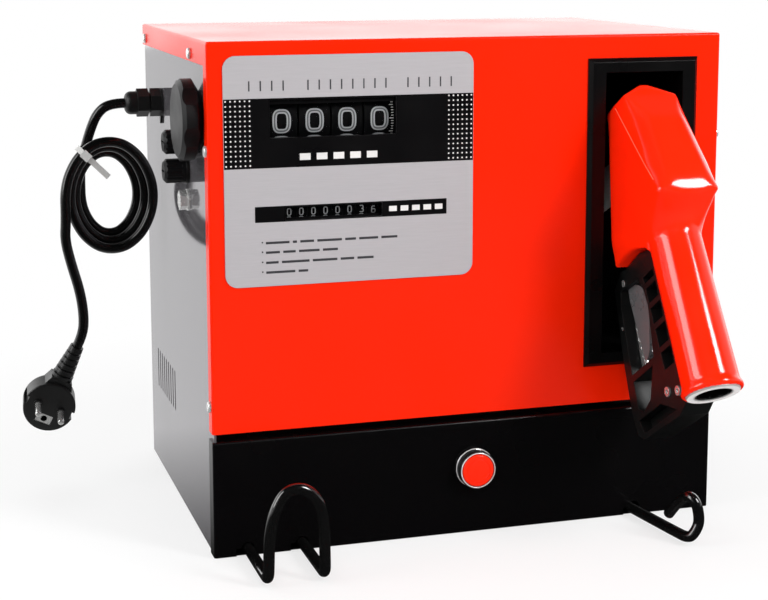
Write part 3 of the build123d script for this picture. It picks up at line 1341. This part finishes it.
with BuildPart() as pump_cover:
    with BuildSketch(Plane.YZ.offset(pump_face_x)):
        with Locations((MOTOR_Y, MOTOR_Z)):
            Circle(PUMP_RADIUS)
    extrude(amount=PUMP_COVER_THICKNESS)
    with BuildSketch(Plane.YZ.offset(pump_face_x + PUMP_COVER_THICKNESS)):
        with Locations((MOTOR_Y, SUCTION_Z)):
            Circle(PIPE_RADIUS + 3)
        with Locations((MOTOR_Y, MOTOR_Z)):
            with PolarLocations(PUMP_RADIUS - 5, 6, start_angle=30):
                RegularPolygon(3.6, 6)
    extrude(amount=4)
    with BuildSketch(Plane.YZ.offset(pump_face_x + PUMP_COVER_THICKNESS)):
        with Locations((MOTOR_Y, SUCTION_Z)):
            Circle(PIPE_RADIUS + 3)
    extrude(amount=10)
    with BuildSketch(Plane.YZ.offset(pump_face_x)):
        with Locations((MOTOR_Y, SUCTION_Z)):
            Circle(PORT_BORE)
    extrude(amount=PUMP_COVER_THICKNESS + 10, mode=Mode.SUBTRACT)
pump_cover.part.label = "pump_cover"
export_step(pump_cover.part, "parts/pump_cover.step")

# The rotor has vanes in slots: they stand out a little all round.
rotor_length = PUMP_LENGTH - PUMP_WALL - 2 * ROTOR_GAP
with BuildPart() as pump_rotor:
    with BuildSketch(Plane.YZ.offset(pump_cavity_x + ROTOR_GAP)):
        with Locations((MOTOR_Y, MOTOR_Z)):
            Circle(ROTOR_RADIUS - 1.5)
            with PolarLocations(ROTOR_RADIUS / 2 + 3, VANE_COUNT):
                Rectangle(ROTOR_RADIUS - 5, VANE_THICKNESS)
            Circle(MOTOR_SHAFT_RADIUS, mode=Mode.SUBTRACT)
    extrude(amount=rotor_length)
pump_rotor.part.label = "pump_rotor"
export_step(pump_rotor.part, "parts/pump_rotor.step")

# The meter hangs on the back of the counter: a round body with two bosses.
meter_back_y = COUNTER_BACK_Y + METER_THICKNESS
meter_middle_y = COUNTER_BACK_Y + METER_THICKNESS / 2
METER_BOSS = 8.0
with BuildPart() as meter_body:
    with BuildSketch(Plane.XZ.offset(-COUNTER_BACK_Y)):
        with Locations((COUNTER_X, METER_Z)):
            Circle(METER_RADIUS)
    extrude(amount=-METER_THICKNESS)
    fillet(meter_body.faces().sort_by(Axis.Y)[-1].edges(), radius=6)
    with BuildSketch(Plane.XZ.offset(-meter_back_y)):
        with Locations((COUNTER_X, METER_Z)):
            Circle(PIPE_RADIUS + 3)
    extrude(amount=-METER_BOSS)
    with BuildSketch(Plane.YZ.offset(COUNTER_X)):
        with Locations((meter_middle_y, METER_Z)):
            Circle(PIPE_RADIUS + 3)
    extrude(amount=METER_RADIUS + METER_BOSS)
    with BuildSketch(Plane.XZ.offset(-COUNTER_BACK_Y - 8)):
        with Locations((COUNTER_X, METER_Z)):
            Circle(METER_RADIUS - 8)
    extrude(amount=-METER_THICKNESS + 16, mode=Mode.SUBTRACT)
    with BuildSketch(Plane.XZ.offset(-meter_middle_y)):
        with Locations((COUNTER_X, METER_Z)):
            Circle(PORT_BORE)
    extrude(amount=-METER_THICKNESS, mode=Mode.SUBTRACT)
    with BuildSketch(Plane.YZ.offset(COUNTER_X)):
        with Locations((meter_middle_y, METER_Z)):
            Circle(PORT_BORE)
    extrude(amount=METER_RADIUS + METER_BOSS, mode=Mode.SUBTRACT)
meter_body.part.label = "meter_body"
export_step(meter_body.part, "parts/meter_body.step")

# The ports: a hexagon against the back panel, a threaded mouth outside and a tail for the pipe.
PORT_HEX_LENGTH = 8.0
PORT_TAIL = 12.0
port_hex_y = FOLD_Y - PORT_HEX_LENGTH
port_tail_y = port_hex_y - PORT_TAIL
port_places = [(PORT_X, SUCTION_Z), (PORT_X, DELIVERY_Z)]
with BuildPart() as hose_ports:
    with BuildSketch(Plane.XZ.offset(-port_hex_y)):
        with Locations(*port_places):
            RegularPolygon(PORT_HEX / math.sqrt(3), 6)
    extrude(amount=-PORT_HEX_LENGTH)
    with BuildSketch(Plane.XZ.offset(-FOLD_Y)):
        with Locations(*port_places):
            Circle(PORT_RADIUS)
    extrude(amount=-SHEET - PORT_REACH)
    with BuildSketch(Plane.XZ.offset(-port_tail_y)):
        with Locations(*port_places):
            Circle(PIPE_RADIUS + 3)
    extrude(amount=-PORT_TAIL)
    with BuildSketch(Plane.XZ.offset(-port_tail_y)):
        with Locations(*port_places):
            Circle(PORT_BORE)
    extrude(amount=-60, mode=Mode.SUBTRACT)
    with BuildSketch(Plane.XZ.offset(-BACK_PANEL_Y - PORT_REACH)):
        with Locations(*port_places):
            Circle(PORT_THREAD)
    extrude(amount=PORT_THREAD_DEPTH, mode=Mode.SUBTRACT)
hose_ports.part.label = "hose_ports"
export_step(hose_ports.part, "parts/hose_ports.step")

# Three bent tubes join the port, the pump, the meter and the other port.
pump_inlet = (pump_face_x + PUMP_COVER_THICKNESS + 10, MOTOR_Y, SUCTION_Z)
meter_inlet_y = meter_back_y + METER_BOSS
meter_outlet_x = COUNTER_X + METER_RADIUS + METER_BOSS
suction_points = [pump_inlet, (PORT_X, MOTOR_Y, SUCTION_Z), (PORT_X, port_tail_y, SUCTION_Z)]
pressure_points = [
    (pump_middle_x, MOTOR_Y, PUMP_BOSS_TOP),
    (pump_middle_x, MOTOR_Y, METER_Z),
    (COUNTER_X, MOTOR_Y, METER_Z),
    (COUNTER_X, meter_inlet_y, METER_Z),
]
outlet_points = [
    (meter_outlet_x, meter_middle_y, METER_Z),
    (48, meter_middle_y, METER_Z),
    (PORT_X, 84, METER_Z),
    (PORT_X, 84, DELIVERY_Z),
    (PORT_X, port_tail_y, DELIVERY_Z),
]
PIPE_BEND = 24.0
suction_pipe = bent_rod(suction_points, [PIPE_BEND], PIPE_RADIUS)
pressure_pipe = bent_rod(pressure_points, [PIPE_BEND, PIPE_BEND], PIPE_RADIUS)
outlet_pipe = bent_rod(outlet_points, [PIPE_BEND, PIPE_BEND, PIPE_BEND - 2], PIPE_RADIUS)
fuel_pipes = Compound(label="fuel_pipes", children=[suction_pipe, pressure_pipe, outlet_pipe])
export_step(fuel_pipes, "parts/fuel_pipes.step")


# Mains cord: a lead from the gland, a coil of three turns held by a tie, and a tail to the plug


def cord_tube(points, name):
    """A round cord along these points, with every bend as large as its two runs allow."""
    spots = [Vector(*point) for point in points]
    radii = []
    for before, corner, after in zip(spots, spots[1:], spots[2:]):
        turn = math.radians((corner - before).get_angle(after - corner))
        shorter = min((corner - before).length, (after - corner).length)
        radii.append(0.45 * shorter / math.tan(turn / 2))
    tube = bent_rod(points, radii, CORD_RADIUS)
    with BuildLine() as path:
        FilletPolyline(*points, radius=radii)
    length = path.wire().length
    ratio = tube.volume / (math.pi * CORD_RADIUS**2 * length)
    print(name, "radii", [round(radius, 1) for radius in radii])
    print(name, "length", round(length, 1), "volume ratio", round(ratio, 4))
    return tube


# The coil is a flat oval spiral that steps forward as it winds outward. Each half turn is a wide
# arc, a tight arc round its end and a wide arc again. Its places are given across and up from its
# centre, with the distance run so far.
coil_shift = COIL_EXTRA_HEIGHT / 2 / (2 - math.sqrt(2))
coil_back_y = COIL_Y + COIL_TURNS * COIL_STEP


def coil_places():
    """Places and directions at every eighth of a turn of the spiral, from the inner end."""
    places = [(-COIL_START, 0.0, 0, -1, 0.0)]
    slant = math.sqrt(0.5)
    run = 0.0
    for half_turn in range(2 * COIL_TURNS):
        side = -1 if half_turn % 2 == 0 else 1
        near = side * (COIL_START + half_turn * COIL_GROWTH)
        far = -side * (COIL_START + (half_turn + 1) * COIL_GROWTH)
        centre = (near + far) / 2
        wide_radius = (abs(near) + abs(far)) / 2 + coil_shift
        tight_radius = wide_radius - coil_shift * math.sqrt(2)
        corner = wide_radius * slant - coil_shift
        run += wide_radius * math.pi / 4
        places.append((centre + side * corner, side * wide_radius * slant, -side * slant, side * slant, run))
        run += tight_radius * math.pi / 4
        places.append((centre, side * (coil_shift + tight_radius), -side, 0, run))
        run += tight_radius * math.pi / 4
        places.append((centre - side * corner, side * wide_radius * slant, -side * slant, -side * slant, run))
        run += wide_radius * math.pi / 4
        places.append((far, 0.0, 0, -side, run))
    return places


places = coil_places()
coil_slope = 2 * COIL_TURNS * COIL_STEP / places[-1][4]
coil_spots = []
coil_ways = []
for across, up, way_x, way_z, run in places:
    coil_spots.append(Vector(COIL_X + across, coil_back_y - coil_slope * run, COIL_Z + up))
    coil_ways.append(Vector(way_x, -coil_slope, way_z).normalized())


def coil_curve():
    """Two tangent arcs for every eighth of a turn."""
    with BuildLine() as curve:
        for start, way, end, end_way in zip(coil_spots, coil_ways, coil_spots[1:], coil_ways[1:]):
            chord = end - start
            both = chord.dot(way + end_way)
            bend = 2 * (1 - way.dot(end_way))
            reach = (math.sqrt(both**2 + bend * chord.dot(chord)) - both) / bend
            inner_start = start + way * reach
            inner_end = end - end_way * reach
            middle = (inner_start + inner_end) / 2
            TangentArc(start, middle, tangent=way)
            TangentArc(middle, end, tangent=inner_end - inner_start)
    return curve.wire()


coil_line = coil_curve()
with BuildPart() as cord_coil:
    with BuildLine():
        add(coil_line)
    with BuildSketch(Plane(coil_spots[0], z_dir=coil_ways[0])):
        Circle(CORD_RADIUS)
    sweep()
cord_coil.part.label = "cord_coil"
export_step(cord_coil.part, "parts/cord_coil.step")

samples = 600
coil_length = coil_line.length
ring = [coil_line @ (number / samples) for number in range(samples + 1)]
apart = round(40 * samples / coil_length)
least = min((a - b).length for i, a in enumerate(ring) for b in ring[i + apart :])
print("coil length", round(coil_length, 1), "least gap", round(least - 2 * CORD_RADIUS, 2))
coil_ratio = cord_coil.part.volume / (math.pi * CORD_RADIUS**2 * coil_length)
print("coil volume ratio", round(coil_ratio, 4))

# The lead runs straight out of the gland, drops behind the coil and becomes its inner end.
coil_start = coil_spots[0]
lead_points = [
    (GLAND_TIP_X, gland_y, GLAND_Z),
    (GLAND_TIP_X - 12, gland_y, GLAND_Z),
    (-244.5, 60.5, 302.0),
    (-249.5, 64.0, 289.5),
    (-253.5, 68.0, 275.0),
    (-257.5, 70.5, 261.0),
    (coil_start.X, coil_start.Y + 12 * coil_slope, coil_start.Z + 12),
    (coil_start.X, coil_start.Y, coil_start.Z),
]
cord_lead = cord_tube(lead_points, "lead")
cord_lead.label = "cord_lead"
export_step(cord_lead, "parts/cord_lead.step")

# The plug lies in the plane across its pins, with x toward the cord.
plug_axis = Vector(*PLUG_AXIS).normalized()
plug_lean = math.radians(PLUG_LEAN)
lean_way = Vector(math.sin(plug_lean), 0, math.cos(plug_lean))
cord_way = (lean_way - plug_axis * lean_way.dot(plug_axis)).normalized()
PLUG = Plane(Vector(*PLUG_PLACE), x_dir=cord_way, z_dir=plug_axis)
plug_middle = Vector(*PLUG_PLACE) - plug_axis * (PLUG_DEPTH / 2)
relief_top = plug_middle + cord_way * RELIEF_END
above_relief = relief_top + cord_way * 12

# The tail hangs from the coil's outer end to the plug's strain relief.
coil_end = coil_spots[-1]
tail_points = [
    (coil_end.X, coil_end.Y, coil_end.Z),
    (coil_end.X, coil_end.Y - 16 * coil_slope, coil_end.Z - 16),
    (-274.8, 40.5, 205.0),
    (-270.5, 39.3, 185.5),
    (-264.8, 38.0, 165.0),
    (-262.2, 37.3, 146.0),
    (above_relief.X, above_relief.Y, above_relief.Z),
    (relief_top.X, relief_top.Y, relief_top.Z),
]
cord_tail = cord_tube(tail_points, "tail")
cord_tail.label = "cord_tail"
export_step(cord_tail, "parts/cord_tail.step")

# The tie: an oval band round the lead and the coil's strands, with its head in front and its
# loose end toward the coil's middle.
TIE_ANGLE = 135.0
TIE_ROOM = 1.5
TIE_BAND = 1.2
TIE_WIDTH = 4.6
TIE_TAIL = 24.0
LEAD_OUT = 23.5
LEAD_Y = 69.0
tie_turn = math.radians(TIE_ANGLE)
tie_out = Vector(math.cos(tie_turn), 0, math.sin(tie_turn))
tie_normal = Vector(-math.sin(tie_turn), 0, math.cos(tie_turn))
arc_middle = Vector(COIL_X - COIL_GROWTH / 2, 0, COIL_Z + coil_shift)
strands = [arc_middle + tie_out * LEAD_OUT + Vector(0, LEAD_Y, 0)]
for turn_number in range(COIL_TURNS):
    strands.append(coil_spots[8 * turn_number + 7])
tie_span = strands[-1] - strands[0]
tie_side = tie_normal.cross(tie_span).normalized()
offsets = [tie_side.dot(strand - strands[0]) for strand in strands]
tie_shift = (max(offsets) + min(offsets)) / 2
tie_inner = CORD_RADIUS + (max(offsets) - min(offsets)) / 2 + TIE_ROOM
TIE = Plane((strands[0] + strands[-1]) / 2 + tie_side * tie_shift, x_dir=tie_span, z_dir=tie_normal)
tie_reach = tie_span.length / 2 + tie_inner + TIE_BAND
tie_head = TIE.origin + tie_span.normalized() * (tie_reach + 2)
with BuildPart() as cable_tie:
    with BuildSketch(TIE):
        SlotOverall(2 * tie_reach, 2 * (tie_inner + TIE_BAND))
        SlotOverall(2 * (tie_reach - TIE_BAND), 2 * tie_inner, mode=Mode.SUBTRACT)
    extrude(amount=TIE_WIDTH / 2, both=True)
    with BuildSketch(TIE):
        with Locations((tie_reach + 2, 0)):
            Rectangle(5, 7.5)
    extrude(amount=TIE_WIDTH / 2 + 1, both=True)
    with BuildSketch(Plane(tie_head, x_dir=tie_out * -1, z_dir=tie_normal)):
        with Locations((TIE_TAIL / 2, 0)):
            Rectangle(TIE_TAIL, TIE_BAND)
    extrude(amount=TIE_WIDTH / 2, both=True)
cable_tie.part.label = "cable_tie"
export_step(cable_tie.part, "parts/cable_tie.step")

# Strain relief: a tapered sleeve with five grooves, turned about the cord's way into the plug
RELIEF = Plane(plug_middle, x_dir=cord_way, z_dir=PLUG.y_dir)
RELIEF_RIBS = 5
rib_pitch = (RELIEF_END - PLUG_NECK - 4) / RELIEF_RIBS
relief_outline = [(PLUG_NECK, 0), (PLUG_NECK, 8.6), (PLUG_NECK + 3, 8.6)]
for rib in range(RELIEF_RIBS):
    rib_start = PLUG_NECK + 3 + rib * rib_pitch
    rib_radius = 8.2 - rib * 0.55
    relief_outline.append((rib_start, rib_radius - 1.5))
    relief_outline.append((rib_start + 1.6, rib_radius - 1.5))
    relief_outline.append((rib_start + 1.6, rib_radius - 0.2))
    relief_outline.append((rib_start + rib_pitch, rib_radius - 0.5))
relief_outline.append((RELIEF_END, 5.4))
relief_outline.append((RELIEF_END, 0))
with BuildPart() as plug_strain_relief:
    with BuildSketch(RELIEF):
        with BuildLine():
            Polyline(*relief_outline, close=True)
        make_face()
    revolve(axis=Axis(plug_middle, cord_way))
plug_strain_relief.part.label = "plug_strain_relief"
export_step(plug_strain_relief.part, "parts/plug_strain_relief.step")

COLLAR_HEIGHT = 1.4
PLATE_INSET = 1.0
EARTH_OFFSET = -10.5
with BuildPart() as plug_body:
    with BuildSketch(PLUG):
        Circle(PLUG_RADIUS)
    extrude(amount=-PLUG_DEPTH)
    fillet(plug_body.faces().sort_by(Axis(Vector(*PLUG_PLACE), plug_axis))[0].edges(), radius=5)
    fillet(plug_body.faces().sort_by(Axis(Vector(*PLUG_PLACE), plug_axis))[-1].edges(), radius=1.2)
    with BuildSketch(PLUG.offset(-3)):
        with BuildLine():
            Polyline((8, -15), (PLUG_NECK, -8.5), (PLUG_NECK, 8.5), (8, 15), close=True)
        make_face()
    extrude(amount=-PLUG_DEPTH + 6)
    with BuildSketch(PLUG):
        with Locations((0, -PIN_SPACING / 2), (0, PIN_SPACING / 2)):
            Circle(PIN_RADIUS + 1.2)
    extrude(amount=COLLAR_HEIGHT)
    with BuildSketch(PLUG.offset(COLLAR_HEIGHT)):
        with Locations((0, -PIN_SPACING / 2), (0, PIN_SPACING / 2)):
            Circle(PIN_RADIUS)
    extrude(amount=-COLLAR_HEIGHT - 8, mode=Mode.SUBTRACT)
    with BuildSketch(PLUG):
        with Locations((EARTH_OFFSET, 0)):
            Rectangle(8, 13)
    extrude(amount=-PLATE_INSET - 1, mode=Mode.SUBTRACT)
    with BuildSketch(PLUG):
        with Locations((EARTH_OFFSET, 0)):
            Circle(2.5)
    extrude(amount=-16, mode=Mode.SUBTRACT)
    with BuildSketch(PLUG):
        with Locations((0, -PLUG_RADIUS), (0, PLUG_RADIUS)):
            Rectangle(6, 5)
    extrude(amount=-PLUG_DEPTH + 6, mode=Mode.SUBTRACT)
plug_body.part.label = "plug_body"
export_step(plug_body.part, "parts/plug_body.step")

# The plug's metal: two pins with rounded ends, and the earth contact plate
with BuildPart() as plug_contacts:
    with BuildSketch(PLUG.offset(-8)):
        with Locations((0, -PIN_SPACING / 2), (0, PIN_SPACING / 2)):
            Circle(PIN_RADIUS)
    extrude(amount=PIN_LENGTH + 8)
    fillet(plug_contacts.faces().sort_by(Axis(Vector(*PLUG_PLACE), plug_axis))[-2:].edges(), radius=1.6)
    with BuildSketch(PLUG.offset(-PLATE_INSET)):
        with Locations((EARTH_OFFSET, 0)):
            Rectangle(8, 13)
            Circle(2.5, mode=Mode.SUBTRACT)
    extrude(amount=-1)
plug_contacts.part.label = "plug_contacts"
export_step(plug_contacts.part, "parts/plug_contacts.step")
